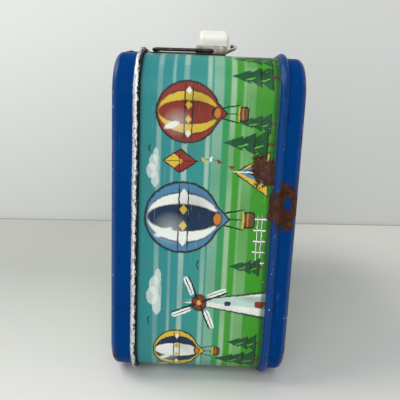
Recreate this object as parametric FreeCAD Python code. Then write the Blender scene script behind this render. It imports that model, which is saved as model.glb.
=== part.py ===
import FreeCAD, Part
import math
import os

# Steel lunch box, standing on its base. Millimetres, +Z up, +X along the box, lid at -Y, back at +Y.
# The origin is the middle of the base, on the surface that the box stands on.

# Case
sheet = 0.4                   # tinplate that the band and both pans are pressed from
band_width = 218.0            # outside of the band along X
band_height = 174.0           # outside of the band along Z
corner_radius = 22.0          # outside corners of the band, seen from the front
lid_side = 11.1               # lid skirt from the front face to its bead
lid_bead_diameter = 3.0       # rolled rim of the lid, which is also its row of hinge knuckles
seam_gap = 0.3                # open line between the lid's bead and the band
band_shown = 67.7             # printed band between the two beads
back_bead_width = 4.3         # rolled seam that holds the back pan to the band
back_side = 8.8               # side wall of the back pan behind its bead
bead_proud = 2.3              # how far both beads stand out from the band
foot_flat = 0.12              # depth worn flat on the underside of both beads
pan_edge_radius = 3.5         # rounded edge from a pan's face to its side
field_margin = 12.0           # plain border round the raised picture field
field_radius = 12.0           # corners of the raised field
field_raise = 0.8             # height of the raised field
lip_step = 1.2                # step inwards where the band goes under the lid
lip_length = 7.5              # how far the band goes under the lid
hem_length = 4.0              # folded edge of that lip
back_flange = 1.3             # band edge turned out inside the back seam
seam_clearance = 0.03         # between the back bead's foot and the band
lap_width = 12.0              # overlap where the band's two ends meet, under the box

# Hinge
pin_clearance = 0.08          # hinge pin in its knuckles
hinge_spacing = 110.0         # between the middles of the two body leaves
leaf_width = 36.0
leaf_length = 14.0
leaf_thickness = 0.5
knuckle_gap = 0.3             # end play between the body knuckles and the lid's bead
pin_length = 168.0

# Rivets
rivet_shank_radius = 1.0
rivet_head_radius = 1.9
rivet_head_height = 0.7
rivet_tail_radius = 1.6
rivet_tail_height = 0.5
leaf_rivet_spacing = 20.0

# Handle
handle_latch_gap = 20.0       # each end of the grip from the middle of that latch
handle_width = 17.4
handle_crown = 23.6           # highest point above the box's top
handle_shoulder = 14.0        # top of each leg above the box's top
grip_thickness = 7.6
leg_thickness = 9.6
handle_back_offset = 2.4      # handle's middle behind the middle of the box
handle_edge_radius = 2.4
grip_panel_width = 9.0        # shallow panel pressed into the top of the grip
grip_panel_length = 72.0
grip_panel_depth = 0.6
lug_clearance = 0.3           # foot of each leg above the box's top
handle_pin_radius = 1.5
handle_pin_head_radius = 2.6
handle_pin_head_height = 0.9
handle_pin_blind = 2.0        # plastic left in front of the pin at the outer face
running_clearance = 0.06
ear_thickness = 1.0
ear_slot_clearance = 0.2
ear_tip_radius = 3.0
ear_neck_width = 9.0
ear_foot_length = 17.0
ear_foot_width = 14.0
ear_rivet_spacing = 8.0

# Latches
latch_inset = 31.0            # middle of each latch from that end of the box
base_plate_width = 14.0
base_plate_thickness = 0.8
base_plate_nose = 2.5         # plate in front of the lever's pivot
base_plate_tail = 14.0        # plate behind it
latch_reach = 22.0            # lever pivot behind the catch's hook
lever_pivot_height = 2.9
lever_pin_radius = 0.8
lever_pin_head_radius = 1.4
lever_pin_head_height = 0.5
base_ear_radius = 1.3
lever_width = 16.0
lever_sheet = 0.8
lever_length = 15.5           # from the pivot to the rear end
lever_nose_radius = 2.2
lever_underside = 0.9         # lower edge of the lever's flanges above the box's top
lever_plate_setback = 1.0     # top plate starts this far behind the pivot
tab_width = 12.0              # curled finger tab
tab_dip_height = 3.2
tab_reach = 4.1               # tip of the tab behind the lever
tab_tip_height = 5.2
tab_curl_length = 2.7         # curl brought back from the tip
tab_curl_height = 6.5
bail_wire_radius = 0.9
bail_half_width = 9.7         # middle of the latch to the middle of a side wire
bail_pivot_setback = 6.8      # wire ends behind the lever's pivot
bail_pivot_height = 2.4
bail_end_reach = 3.1          # inward turn of each wire end
bail_corner_radius = 2.6
bail_end_radius = 1.5
bail_hole_clearance = 0.1
bail_hook_gap = 0.25          # wire to the catch's hook and floor
catch_sheet = 0.7
catch_width = 14.0
hook_setback = 7.0            # upturned hook behind the middle of the lid's bead
catch_hook_height = 3.0
catch_floor_height = 0.6      # middle of the catch plate behind the bead
catch_rivet_setback = 6.0     # rivets behind the lid's face
catch_rivet_spacing = 9.0
latch_rivet_setback = 6.2     # first rivet behind the lever's pivot
latch_rivet_pitch = 5.0

# Bottle clip
clip_wire_radius = 1.25
clip_pivot_x = 20.0
clip_setback = 6.2            # wire behind the band's front shoulder
clip_end_gap = 10.6           # clip's upright from the inside of the end wall
clip_arm_inset = 26.0         # each arm from the inside of the top or bottom wall
clip_bend_radius = 6.0
clip_bracket_width = 8.0
clip_bracket_sheet = 1.0
clip_bracket_drop = 4.5       # shelf below the wall that it is welded to
clip_shelf_reach = 6.0
clip_foot_length = 9.0
clip_stop_height = 14.0
clip_stop_reach = 14.6
clip_stop_gap = 0.3

# Places that follow from the sizes above
total_depth = lid_side + lid_bead_diameter + seam_gap + band_shown + back_bead_width + back_side
front_y = -total_depth / 2
back_y = total_depth / 2
lid_bead_radius = lid_bead_diameter / 2
lid_bead_y = front_y + lid_side + lid_bead_radius
shoulder_y = front_y + lid_side + lid_bead_diameter + seam_gap
back_bead_y0 = shoulder_y + band_shown
back_bead_y1 = back_bead_y0 + back_bead_width
back_bead_mid = (back_bead_y0 + back_bead_y1) / 2
band_bottom = bead_proud - foot_flat
band_top = band_bottom + band_height
mid_z = (band_bottom + band_top) / 2
bead_out = bead_proud - lid_bead_radius       # lid bead's middle outside the band
hinge_z = band_bottom - bead_out
knuckle_bore = lid_bead_radius - sheet
hinge_pin_radius = knuckle_bore - pin_clearance
wall_top_inside = band_top - sheet
wall_bottom_inside = band_bottom + sheet
catch_hook_y = lid_bead_y + hook_setback
lever_pivot_y = catch_hook_y + latch_reach
lever_rear = lever_pivot_y + lever_length
tab_tip_y = lever_rear + tab_reach
tab_curl_y = tab_tip_y - tab_curl_length
bail_pivot_y = lever_pivot_y + bail_pivot_setback
base_plate_front = lever_pivot_y - base_plate_nose
base_plate_rear = lever_pivot_y + base_plate_tail
latch_rivet_y = lever_pivot_y + latch_rivet_setback
catch_rivet_y = front_y + catch_rivet_setback
clip_y = shoulder_y + clip_setback
tiny = 0.01


def vec(x, y, z):
    return FreeCAD.Vector(x, y, z)


def fuse(shapes):
    whole = shapes[0] if len(shapes) == 1 else shapes[0].multiFuse(shapes[1:])
    return whole.removeSplitter()


def box(x0, x1, y0, y1, z0, z1):
    return Part.makeBox(x1 - x0, y1 - y0, z1 - z0, vec(x0, y0, z0))


def rod(radius, start, end):
    axis = end - start
    return Part.makeCylinder(radius, axis.Length, start, axis)


def rounded_loop(width, height, radius, y):
    # Rounded rectangle in the plane Y = y round the middle of the case, from the middle of its top run.
    a, b, r = width / 2, height / 2, radius
    k = r * (1 - math.sqrt(0.5))
    p = [vec(0, y, b), vec(a - r, y, b), vec(a, y, b - r), vec(a, y, r - b), vec(a - r, y, -b),
         vec(r - a, y, -b), vec(-a, y, r - b), vec(-a, y, b - r), vec(r - a, y, b)]
    bends = [vec(a - k, y, b - k), vec(a - k, y, k - b), vec(k - a, y, k - b), vec(k - a, y, b - k)]
    edges = [Part.makeLine(p[0], p[1])]
    for i, bend in enumerate(bends):
        edges.append(Part.Arc(p[2 * i + 1], bend, p[2 * i + 2]).toShape())
        last = p[2 * i + 3] if i < 3 else p[0]
        edges.append(Part.makeLine(p[2 * i + 2], last))
    loop = Part.Wire(edges)
    loop.translate(vec(0, 0, mid_z))
    return loop


def prism(inset, y0, y1):
    # Solid block with the band's outline, taken in by inset all round.
    face = Part.Face(rounded_loop(band_width - 2 * inset, band_height - 2 * inset, corner_radius - inset, y0))
    return face.extrude(vec(0, y1 - y0, 0))


def ring(outer, inner, y0, y1):
    return prism(outer, y0, y1).cut(prism(inner, y0 - tiny, y1 + tiny))


def strip(points, thickness, x0, x1):
    # Bent sheet: a run of (y, z) middles, extruded along X, with rounded outer bends.
    pieces = []
    for (ya, za), (yb, zb) in zip(points, points[1:]):
        run = math.hypot(yb - ya, zb - za)
        plate = Part.makeBox(x1 - x0, run, thickness, vec(x0, 0, -thickness / 2))
        plate.rotate(vec(0, 0, 0), vec(1, 0, 0), math.degrees(math.atan2(zb - za, yb - ya)))
        plate.translate(vec(0, ya, za))
        pieces.append(plate)
    for y, z in points[1:-1]:
        pieces.append(rod(thickness / 2, vec(x0, y, z), vec(x1, y, z)))
    return fuse(pieces)


def wire_run(points, radii, wire_radius):
    # Round wire along straight runs, with an arc of its own radius at each inner point.
    edges = []
    start = points[0]
    for before, corner, after, radius in zip(points, points[1:], points[2:], radii):
        back = (before - corner).normalize()
        on = (after - corner).normalize()
        half = back.getAngle(on) / 2
        tangent = radius / math.tan(half)
        middle = (back + on).normalize() * (radius / math.sin(half) - radius)
        a, b = corner + back * tangent, corner + on * tangent
        edges.append(Part.makeLine(start, a))
        edges.append(Part.Arc(a, corner + middle, b).toShape())
        start = b
    edges.append(Part.makeLine(start, points[-1]))
    section = Part.Face(Part.Wire(Part.makeCircle(wire_radius, points[0], points[1] - points[0])))
    return Part.Wire(edges).makePipe(section)


def rivet(x, y, seat, tail_seat):
    # Domed head on seat, flat tail on tail_seat, for a vertical rivet either way up.
    up = 1 if seat > tail_seat else -1
    tail_end = tail_seat - up * rivet_tail_height
    crown = seat + up * rivet_head_height
    ball = (rivet_head_radius ** 2 + rivet_head_height ** 2) / (2 * rivet_head_height)
    tilt = math.asin(rivet_head_radius / ball) / 2
    corners = [vec(0, 0, tail_end), vec(rivet_tail_radius, 0, tail_end), vec(rivet_tail_radius, 0, tail_seat),
               vec(rivet_shank_radius, 0, tail_seat), vec(rivet_shank_radius, 0, seat),
               vec(rivet_head_radius, 0, seat)]
    edges = [Part.makeLine(a, b) for a, b in zip(corners, corners[1:])]
    dome = vec(ball * math.sin(tilt), 0, crown - up * ball * (1 - math.cos(tilt)))
    edges.append(Part.Arc(corners[-1], dome, vec(0, 0, crown)).toShape())
    edges.append(Part.makeLine(vec(0, 0, crown), corners[0]))
    body = Part.Face(Part.Wire(edges)).revolve(vec(0, 0, 0), vec(0, 0, 1), 360)
    body.translate(vec(x, y, 0))
    return body


def shank_hole(x, y, z):
    return rod(rivet_shank_radius, vec(x, y, z - 2), vec(x, y, z + 2))


def below_floor(shape):
    return shape.cut(box(-band_width, band_width, -total_depth, total_depth, -10, 0))


# Case pieces
lip_front = shoulder_y - lip_length
flange_end = back_bead_mid + sheet
pan_start = flange_end + seam_clearance
leaf_xs = (-hinge_spacing / 2, hinge_spacing / 2)
leaf_front = lid_bead_y + knuckle_bore
leaf_rivet_y = lid_bead_y + leaf_length * 0.75
latch_x = band_width / 2 - latch_inset
handle_length = 2 * (latch_x - handle_latch_gap)
latch_xs = (-latch_x, latch_x)
ear_x = handle_length / 2 - leg_thickness / 2
ear_rivet_x = ear_x - ear_foot_length * 0.7
handle_pivot_z = band_top + handle_width / 2 + lug_clearance


def leaf_rivet_spots():
    return [(x + side * leaf_rivet_spacing / 2, leaf_rivet_y) for x in leaf_xs for side in (-1, 1)]


def ear_rivet_spots():
    return [(side * ear_rivet_x, handle_back_offset + across * ear_rivet_spacing / 2)
            for side in (-1, 1) for across in (-1, 1)]


def latch_rivet_spots():
    return [(x, latch_rivet_y + step * latch_rivet_pitch) for x in latch_xs for step in (0, 1)]


def catch_rivet_spots():
    return [(x + side * catch_rivet_spacing / 2, catch_rivet_y) for x in latch_xs for side in (-1, 1)]


def body_band():
    band = fuse([
        ring(0, sheet, shoulder_y, flange_end),
        ring(0, lip_step + sheet, shoulder_y, shoulder_y + sheet),
        ring(lip_step, lip_step + sheet, lip_front, shoulder_y + sheet),
        ring(lip_step, lip_step + 2 * sheet, lip_front, lip_front + hem_length),
        ring(-back_flange, sheet, flange_end - sheet, flange_end),
        box(-lap_width / 2, lap_width / 2, shoulder_y + sheet, back_bead_y0 - seam_gap,
            band_bottom - sheet, band_bottom + tiny),
    ])
    holes = [shank_hole(x, y, band_bottom) for x, y in leaf_rivet_spots()]
    holes += [shank_hole(x, y, band_top) for x, y in ear_rivet_spots() + latch_rivet_spots()]
    for side in (-1, 1):
        wide = ear_thickness / 2 + ear_slot_clearance / 2
        deep = ear_neck_width / 2 + ear_slot_clearance
        holes.append(box(side * ear_x - wide, side * ear_x + wide, handle_back_offset - deep,
                         handle_back_offset + deep, band_top - 2, band_top + 2))
    return band.cut(holes)


def field(inset, y, out):
    # Raised picture field with sloping sides, standing out from a pan's face at y in the direction out.
    width = band_width - 2 * (field_margin + inset)
    height = band_height - 2 * (field_margin + inset)
    base = rounded_loop(width, height, field_radius - inset, y - out * sheet / 2)
    slope = field_raise + sheet / 2
    top = rounded_loop(width - 2 * slope, height - 2 * slope, field_radius - inset - slope,
                       y + out * field_raise)
    return Part.makeLoft([base, top], True, True)


def pan_block(inset, open_y, face_y, out):
    block = prism(inset, min(open_y, face_y), max(open_y, face_y))
    rim = [e for e in block.Edges if max(abs(e.BoundBox.YMin - face_y), abs(e.BoundBox.YMax - face_y)) < tiny]
    block = block.makeFillet(pan_edge_radius - inset, rim)
    return fuse([block, field(inset, face_y, out)])


def pan_shell(open_y, face_y):
    out = 1 if face_y > open_y else -1
    hollow = pan_block(sheet, open_y - out * tiny, face_y - out * sheet, out)
    return pan_block(0, open_y, face_y, out).cut(hollow)


def back_bead():
    # Hollow arch rolled over the band's turned-out edge, carried round all four sides.
    foot = band_top + seam_clearance
    a, b = vec(0, back_bead_y0, foot), vec(0, back_bead_y1, foot)
    c, d = vec(0, back_bead_y1, band_top - sheet / 2), vec(0, back_bead_y1 - sheet, band_top - sheet / 2)
    e, f = vec(0, back_bead_y1 - sheet, foot), vec(0, back_bead_y0 + sheet, foot)
    crest = band_top + bead_proud
    edges = [Part.Arc(a, vec(0, back_bead_mid, crest), b).toShape(), Part.makeLine(b, c), Part.makeLine(c, d),
             Part.makeLine(d, e), Part.Arc(e, vec(0, back_bead_mid, crest - sheet), f).toShape(),
             Part.makeLine(f, a)]
    path = rounded_loop(band_width, band_height, corner_radius, back_bead_mid)
    return path.makePipe(Part.Face(Part.Wire(edges)))


def back_pan():
    return below_floor(fuse([pan_shell(pan_start, back_y), back_bead()]))


def lid_bead(radius):
    path = rounded_loop(band_width + 2 * bead_out, band_height + 2 * bead_out, corner_radius + bead_out,
                        lid_bead_y)
    start = vec(0, lid_bead_y, band_top + bead_out)
    return path.makePipe(Part.Face(Part.Wire(Part.makeCircle(radius, start, vec(1, 0, 0)))))


def lid_pan():
    skirt_end = lid_bead_y - lid_bead_radius * 0.55
    lid = fuse([pan_shell(skirt_end, front_y), lid_bead(lid_bead_radius)]).cut(lid_bead(knuckle_bore))
    half = leaf_width / 2 + knuckle_gap
    swing = lid_bead_radius + knuckle_gap
    cuts = [box(x - half, x + half, lid_bead_y - swing, lid_bead_y + swing, hinge_z - swing, hinge_z + swing)
            for x in leaf_xs]
    cuts += [shank_hole(x, y, band_top) for x, y in catch_rivet_spots()]
    return below_floor(lid.cut(cuts))


def hinge_leaf(x):
    x0, x1 = x - leaf_width / 2, x + leaf_width / 2
    end = lid_bead_y + leaf_length
    plate = box(x0, x1, leaf_front, end, band_bottom - leaf_thickness, band_bottom)
    rear = [e for e in plate.Edges if e.BoundBox.YMin > end - tiny and e.BoundBox.ZLength > tiny]
    plate = plate.makeFillet(leaf_length * 0.3, rear)
    barrel = rod(lid_bead_radius, vec(x0, lid_bead_y, hinge_z), vec(x1, lid_bead_y, hinge_z))
    bore = rod(knuckle_bore, vec(x0 - 1, lid_bead_y, hinge_z), vec(x1 + 1, lid_bead_y, hinge_z))
    holes = [shank_hole(px, py, band_bottom) for px, py in leaf_rivet_spots()]
    return below_floor(fuse([plate, barrel]).cut([bore] + holes))


def hinge_pin():
    half = pin_length / 2
    return rod(hinge_pin_radius, vec(-half, lid_bead_y, hinge_z), vec(half, lid_bead_y, hinge_z))


def hinge_rivets():
    return Part.makeCompound([rivet(x, y, band_bottom - leaf_thickness, wall_bottom_inside)
                              for x, y in leaf_rivet_spots()])


# Handle pieces
def bow_height(x):
    # Top of the grip above the box's top, on one arc from shoulder to shoulder.
    half, rise = handle_length / 2, handle_crown - handle_shoulder
    radius = (half ** 2 + rise ** 2) / (2 * rise)
    return handle_crown - radius + math.sqrt(radius ** 2 - x ** 2)


def handle_grip():
    half, leg_in = handle_length / 2, handle_length / 2 - leg_thickness
    y0, y1 = handle_back_offset - handle_width / 2, handle_back_offset + handle_width / 2
    foot = band_top + lug_clearance
    under = bow_height(leg_in) - grip_thickness + band_top
    brow = band_top + handle_shoulder
    p = [vec(-half, y0, foot), vec(-half, y0, brow), vec(half, y0, brow), vec(half, y0, foot),
         vec(leg_in, y0, foot), vec(leg_in, y0, under), vec(-leg_in, y0, under), vec(-leg_in, y0, foot)]
    edges = [Part.makeLine(p[0], p[1]), Part.Arc(p[1], vec(0, y0, band_top + handle_crown), p[2]).toShape(),
             Part.makeLine(p[2], p[3]), Part.makeLine(p[3], p[4]), Part.makeLine(p[4], p[5]),
             Part.Arc(p[5], vec(0, y0, band_top + handle_crown - grip_thickness), p[6]).toShape(),
             Part.makeLine(p[6], p[7]), Part.makeLine(p[7], p[0])]
    grip = Part.Face(Part.Wire(edges)).extrude(vec(0, handle_width, 0))
    bends = [e for e in grip.Edges if e.BoundBox.YLength > handle_width - tiny and e.BoundBox.ZMin > foot + 1]
    grip = grip.makeFillet(handle_edge_radius * 1.6, bends)
    rims = [e for e in grip.Edges if e.BoundBox.YLength < tiny and e.BoundBox.ZMax > foot + tiny]
    grip = grip.makeFillet(handle_edge_radius, rims)
    top = band_top + handle_crown
    lugs = fuse([rod(handle_width / 2, pivot(-half - 1), pivot(half + 1)),
                 box(-half - 1, half + 1, y0, y1, handle_pivot_z, top + 1)])
    grip = grip.common(lugs)
    bowl = (half ** 2 + (handle_crown - handle_shoulder) ** 2) / (2 * (handle_crown - handle_shoulder))
    panel = rod(bowl + 5, vec(0, handle_back_offset - grip_panel_width / 2, top - bowl),
                vec(0, handle_back_offset + grip_panel_width / 2, top - bowl))
    core = rod(bowl - grip_panel_depth, vec(0, y0 - 1, top - bowl), vec(0, y1 + 1, top - bowl))
    reach = grip_panel_length / 2
    panel = panel.cut(core).common(box(-reach, reach, y0, y1, band_top, top + 1))
    cuts = [panel]
    slot_half = ear_thickness / 2 + ear_slot_clearance
    slot_top = handle_pivot_z + ear_tip_radius + 2 * ear_slot_clearance
    head = handle_pin_head_radius + ear_slot_clearance
    for side in (-1, 1):
        cuts.append(box(side * ear_x - slot_half, side * ear_x + slot_half, y0 - 1, y1 + 1,
                        band_top, slot_top))
        cuts.append(rod(handle_pin_radius + running_clearance, pivot(side * (leg_in - 1)),
                        pivot(side * (half - handle_pin_blind + ear_slot_clearance))))
        cuts.append(rod(head, pivot(side * (leg_in - handle_pin_head_height - ear_slot_clearance)),
                        pivot(side * leg_in)))
    return grip.cut(cuts)


def pivot(x):
    return vec(x, handle_back_offset, handle_pivot_z)


def handle_pin(side):
    leg_in, end = handle_length / 2 - leg_thickness, handle_length / 2 - handle_pin_blind
    return fuse([
        rod(handle_pin_radius, pivot(side * (leg_in - handle_pin_head_height)), pivot(side * end)),
        rod(handle_pin_head_radius, pivot(side * (leg_in - handle_pin_head_height)),
            pivot(side * (leg_in - running_clearance))),
    ])


def handle_ear(side):
    x0, x1 = side * ear_x - ear_thickness / 2, side * ear_x + ear_thickness / 2
    foot_end = side * (ear_x - ear_foot_length)
    y, neck, tip = handle_back_offset, ear_neck_width / 2, ear_tip_radius
    outline = [vec(x0, y - neck, wall_top_inside - ear_thickness), vec(x0, y - neck, band_top),
               vec(x0, y - tip, handle_pivot_z), vec(x0, y + tip, handle_pivot_z),
               vec(x0, y + neck, band_top), vec(x0, y + neck, wall_top_inside - ear_thickness)]
    blade = Part.Face(Part.makePolygon(outline + outline[:1])).extrude(vec(ear_thickness, 0, 0))
    disc = rod(tip, vec(x0, y, handle_pivot_z), vec(x1, y, handle_pivot_z))
    foot = box(min(foot_end, x0), max(foot_end, x1), y - ear_foot_width / 2, y + ear_foot_width / 2,
               wall_top_inside - ear_thickness, wall_top_inside)
    holes = [rod(handle_pin_radius, vec(x0 - 1, y, handle_pivot_z), vec(x1 + 1, y, handle_pivot_z))]
    holes += [shank_hole(px, py, wall_top_inside) for px, py in ear_rivet_spots()]
    return fuse([blade, disc, foot]).cut(holes)


def ear_rivets():
    return Part.makeCompound([rivet(x, y, band_top, wall_top_inside - ear_thickness)
                              for x, y in ear_rivet_spots()])


# Latch pieces
def latch_base(x):
    half, t = base_plate_width / 2, base_plate_thickness
    y, z = lever_pivot_y, band_top + lever_pivot_height
    pieces = [box(x - half, x + half, base_plate_front, base_plate_rear, band_top, band_top + t)]
    for x0 in (x - half, x + half - t):
        pieces.append(box(x0, x0 + t, y - base_ear_radius, y + base_ear_radius, band_top, z))
        pieces.append(rod(base_ear_radius, vec(x0, y, z), vec(x0 + t, y, z)))
    holes = [rod(lever_pin_radius, vec(x - half - 1, y, z), vec(x + half + 1, y, z))]
    holes += [shank_hole(px, py, band_top) for px, py in latch_rivet_spots()]
    return fuse(pieces).cut(holes)


def lever_pin(x):
    y, z = lever_pivot_y, band_top + lever_pivot_height
    inner = lever_width / 2 + running_clearance
    outer = inner + lever_pin_head_height
    pieces = [rod(lever_pin_radius, vec(x - outer, y, z), vec(x + outer, y, z))]
    for side in (-1, 1):
        pieces.append(rod(lever_pin_head_radius, vec(x + side * inner, y, z), vec(x + side * outer, y, z)))
    return fuse(pieces)


def latch_rivets():
    return Part.makeCompound([rivet(x, y, band_top + base_plate_thickness, wall_top_inside)
                              for x, y in latch_rivet_spots()])


def latch_lever(x):
    half, t = lever_width / 2, lever_sheet
    y, z = lever_pivot_y, band_top + lever_pivot_height
    top, low = z + lever_nose_radius, band_top + lever_underside
    side_outline = [vec(0, y, top), vec(0, lever_rear - t, top),
                    vec(0, lever_rear, band_top + tab_dip_height), vec(0, lever_rear - 2 * t, low),
                    vec(0, y, low)]
    pieces = [box(x - half, x + half, y + lever_plate_setback, lever_rear - t, top - t, top)]
    for x0 in (x - half, x + half - t):
        cheek = Part.Face(Part.makePolygon(side_outline + side_outline[:1])).extrude(vec(t, 0, 0))
        cheek.translate(vec(x0, 0, 0))
        pieces.append(cheek)
        pieces.append(rod(lever_nose_radius, vec(x0, y, z), vec(x0 + t, y, z)))
    middle = top - t / 2
    tab = [(lever_rear - 2 * t, middle), (lever_rear, band_top + tab_dip_height),
           (tab_tip_y, band_top + tab_tip_height), (tab_curl_y, band_top + tab_curl_height)]
    pieces.append(strip(tab, t, x - tab_width / 2, x + tab_width / 2))
    bail_y, bail_z = bail_pivot_y, band_top + bail_pivot_height
    holes = [rod(lever_pin_radius + running_clearance, vec(x - half - 1, y, z), vec(x + half + 1, y, z)),
             rod(bail_wire_radius + bail_hole_clearance, vec(x - half - 1, bail_y, bail_z),
                 vec(x + half + 1, bail_y, bail_z))]
    return fuse(pieces).cut(holes)


def latch_bail(x):
    bar_y = catch_hook_y - catch_sheet / 2 - bail_hook_gap - bail_wire_radius
    bar_z = band_top + catch_floor_height + catch_sheet / 2 + bail_hook_gap + bail_wire_radius
    end_y, end_z = bail_pivot_y, band_top + bail_pivot_height
    wide, tip = bail_half_width, bail_half_width - bail_end_reach
    points = [vec(x + tip, end_y, end_z), vec(x + wide, end_y, end_z), vec(x + wide, bar_y, bar_z),
              vec(x - wide, bar_y, bar_z), vec(x - wide, end_y, end_z), vec(x - tip, end_y, end_z)]
    radii = [bail_end_radius, bail_corner_radius, bail_corner_radius, bail_end_radius]
    return wire_run(points, radii, bail_wire_radius)


def lid_catch(x):
    t, floor = catch_sheet, band_top + catch_floor_height
    crest = band_top + bead_proud
    points = [(front_y + pan_edge_radius, band_top + t / 2),
              (lid_bead_y - 1.8 * lid_bead_radius, band_top + t / 2),
              (lid_bead_y - 0.67 * lid_bead_radius, crest + 0.43 * t),
              (lid_bead_y + 0.53 * lid_bead_radius, crest + 0.79 * t),
              (lid_bead_y + 2.27 * lid_bead_radius, floor), (catch_hook_y, floor),
              (catch_hook_y, band_top + catch_hook_height)]
    plate = strip(points, t, x - catch_width / 2, x + catch_width / 2)
    return plate.cut([shank_hole(px, py, band_top) for px, py in catch_rivet_spots()])


def catch_rivets():
    return Part.makeCompound([rivet(x, y, band_top + catch_sheet, wall_top_inside)
                              for x, y in catch_rivet_spots()])


# Bottle clip pieces
def clip_bracket(wall, down):
    x, y, t = clip_pivot_x, clip_y, clip_bracket_sheet
    half = clip_bracket_width / 2
    riser = x - clip_shelf_reach
    shelf = wall + down * clip_bracket_drop
    low, high = sorted((wall, wall + down * t))
    shelf_low, shelf_high = sorted((shelf, shelf + down * t))
    riser_low, riser_high = min(low, shelf_low), max(high, shelf_high)
    bracket = fuse([
        box(riser - clip_foot_length, riser, y - half, y + half, low, high),
        box(riser - t, riser, y - half, y + half, riser_low, riser_high),
        box(riser - t, x + clip_shelf_reach, y - half, y + half, shelf_low, shelf_high),
    ])
    hole = rod(clip_wire_radius + running_clearance, vec(x, y, shelf_low - 1), vec(x, y, shelf_high + 1))
    return bracket.cut(hole)


def bottle_clip():
    x, y, far = clip_pivot_x, clip_y, band_width / 2 - sheet - clip_end_gap
    high, low = wall_top_inside - clip_arm_inset, wall_bottom_inside + clip_arm_inset
    end = clip_bracket_sheet
    points = [vec(x, y, wall_top_inside - end), vec(x, y, high), vec(far, y, high), vec(far, y, low),
              vec(x, y, low), vec(x, y, wall_bottom_inside + end)]
    return wire_run(points, [clip_bend_radius] * 4, clip_wire_radius)


def clip_stop():
    # Angle on the end wall whose tab stands just in front of the clip's upright.
    wall, t = band_width / 2 - sheet, clip_bracket_sheet
    tab_y = clip_y - clip_wire_radius - clip_stop_gap - t
    low, high = mid_z - clip_stop_height / 2, mid_z + clip_stop_height / 2
    return fuse([
        box(wall - clip_stop_reach, wall, tab_y, tab_y + t, low, high),
        box(wall - t, wall, tab_y, tab_y + clip_foot_length, low, high),
    ])


nodes = {
    "body_band": body_band(),
    "back_pan": back_pan(),
    "lid_pan": lid_pan(),
    "hinge_pin": hinge_pin(),
    "hinge_rivets": hinge_rivets(),
    "handle_grip": handle_grip(),
    "ear_rivets": ear_rivets(),
    "latch_rivets": latch_rivets(),
    "catch_rivets": catch_rivets(),
    "clip_bracket_upper": clip_bracket(wall_top_inside, -1),
    "clip_bracket_lower": clip_bracket(wall_bottom_inside, 1),
    "clip_stop": clip_stop(),
    "bottle_clip": bottle_clip(),
}
for name, side in (("left", -1), ("right", 1)):
    nodes["hinge_leaf_" + name] = hinge_leaf(side * hinge_spacing / 2)
    nodes["handle_ear_" + name] = handle_ear(side)
    nodes["handle_pin_" + name] = handle_pin(side)
    nodes["latch_base_" + name] = latch_base(side * latch_x)
    nodes["lever_pin_" + name] = lever_pin(side * latch_x)
    nodes["latch_lever_" + name] = latch_lever(side * latch_x)
    nodes["latch_bail_" + name] = latch_bail(side * latch_x)
    nodes["lid_catch_" + name] = lid_catch(side * latch_x)

os.makedirs("parts", exist_ok=True)
for name, shape in nodes.items():
    shape.exportStep("parts/" + name + ".step")
    print(name, "valid" if shape.isValid() else "NOT VALID", len(shape.Solids), round(shape.Volume, 1))
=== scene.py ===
import math

import bpy
from mathutils import Matrix, Vector


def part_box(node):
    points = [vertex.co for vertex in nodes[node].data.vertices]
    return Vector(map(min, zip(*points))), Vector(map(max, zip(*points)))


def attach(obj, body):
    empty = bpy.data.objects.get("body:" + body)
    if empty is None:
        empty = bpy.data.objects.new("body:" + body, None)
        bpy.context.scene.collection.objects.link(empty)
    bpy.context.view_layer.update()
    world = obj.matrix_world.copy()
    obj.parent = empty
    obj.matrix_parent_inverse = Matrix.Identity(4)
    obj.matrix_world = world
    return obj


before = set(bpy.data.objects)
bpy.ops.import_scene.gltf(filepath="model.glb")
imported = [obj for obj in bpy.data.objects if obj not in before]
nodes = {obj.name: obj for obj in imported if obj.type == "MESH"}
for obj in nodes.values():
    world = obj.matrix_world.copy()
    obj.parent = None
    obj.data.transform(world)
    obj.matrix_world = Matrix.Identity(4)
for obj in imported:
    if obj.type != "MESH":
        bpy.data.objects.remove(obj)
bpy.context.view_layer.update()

scene = bpy.context.scene
bpy.ops.object.select_all(action="DESELECT")

# the box in millimetres, from the frame: a bead stands proud of the strip's flat sides, and each rim is a roll
bead, lidRoll, backRoll = 1.3, 1.5, 2.2
low, high = ([1000 * v for v in corner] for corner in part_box("body_band"))
case = {"halfWidth": high[0] - bead, "mid": (low[2] + high[2]) / 2, "halfHeight": (high[2] - low[2]) / 2 - bead,
        "lidRim": 1000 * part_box("lid_pan")[1][1] - lidRoll,
        "backRim": 1000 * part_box("back_pan")[0][1] + backRoll, "face": 1000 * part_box("back_pan")[1][1]}
case["top"], case["bottom"] = case["mid"] + case["halfHeight"], case["mid"] - case["halfHeight"]


def srgb(text):
    parts = [int(text[i:i + 2], 16) / 255 for i in (1, 3, 5)]
    return tuple(p / 12.92 if p <= 0.04045 else ((p + 0.055) / 1.055) ** 2.4 for p in parts) + (1.0,)


def addNode(tree, kind, inputs=None, **settings):
    # one shader node with its settings, its inputs linked or filled in; gives back its live output
    node = tree.nodes.new(kind if kind.startswith("NodeGroup") else "ShaderNode" + kind)
    for name, value in settings.items():
        setattr(node, name, value)
    for name, value in (inputs or {}).items():
        live = [s for s in node.inputs if s.enabled]
        socket = live[name] if isinstance(name, int) else next(s for s in live if s.name == name)
        if isinstance(value, bpy.types.NodeSocket):
            tree.links.new(value, socket)
        elif isinstance(value, str):
            socket.default_value = srgb(value)
        else:
            socket.default_value = value
    return next((s for s in node.outputs if s.enabled), None)


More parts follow.
